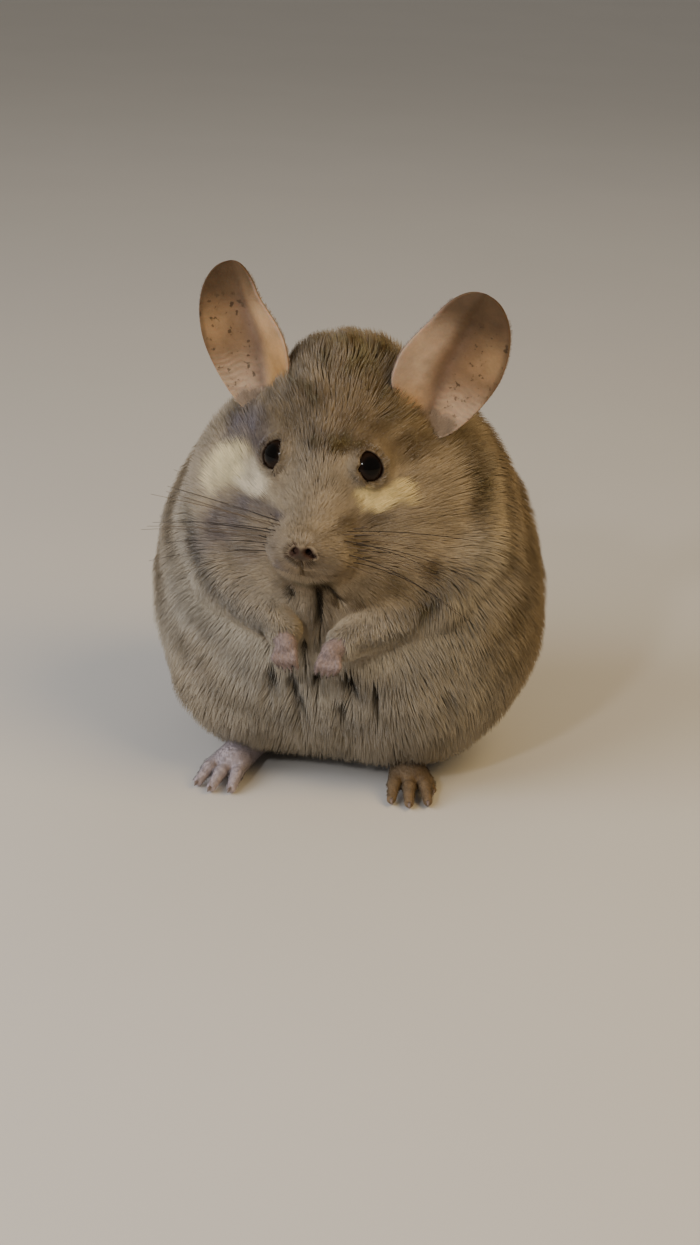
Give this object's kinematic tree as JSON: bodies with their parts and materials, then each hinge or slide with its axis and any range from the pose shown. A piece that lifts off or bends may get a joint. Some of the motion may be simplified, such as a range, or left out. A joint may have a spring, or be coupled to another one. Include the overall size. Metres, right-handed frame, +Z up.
{
  "type": "chinchilla model",
  "caption": "Still, life-size model of a round grey-brown chinchilla sitting up with its forepaws held to its chest.",
  "frame": {"origin": "on the floor, at the centre of the model's plan outline", "axes": "+Z up, the animal faces -Y, its own left side is +X"},
  "size_m": [0.158, 0.2614, 0.1983],
  "materials": {
    "fur": "dense soft brown-grey fur, paler below",
    "tail_fur": "long coarse brown-grey tail hair with a dark upper line",
    "ear_skin": "thin bare freckled skin, pink to tan, darker at the rim",
    "paw_skin": "pinkish skin under very short pale hair",
    "eye": "wet glossy black-brown"
  },
  "bodies": {
    "root": {"torso": "fur", "neck": "fur", "head": "fur", "haunch_left": "fur", "haunch_right": "fur", "arm_left": "fur", "arm_right": "fur", "tail_base": "tail_fur", "tail_middle": "tail_fur", "tail_tip": "tail_fur", "ear_left": "ear_skin", "ear_right": "ear_skin", "hand_left": "paw_skin", "hand_right": "paw_skin", "foot_left": "paw_skin", "foot_right": "paw_skin", "eye_left": "eye", "eye_right": "eye"}
  },
  "joints": []
}
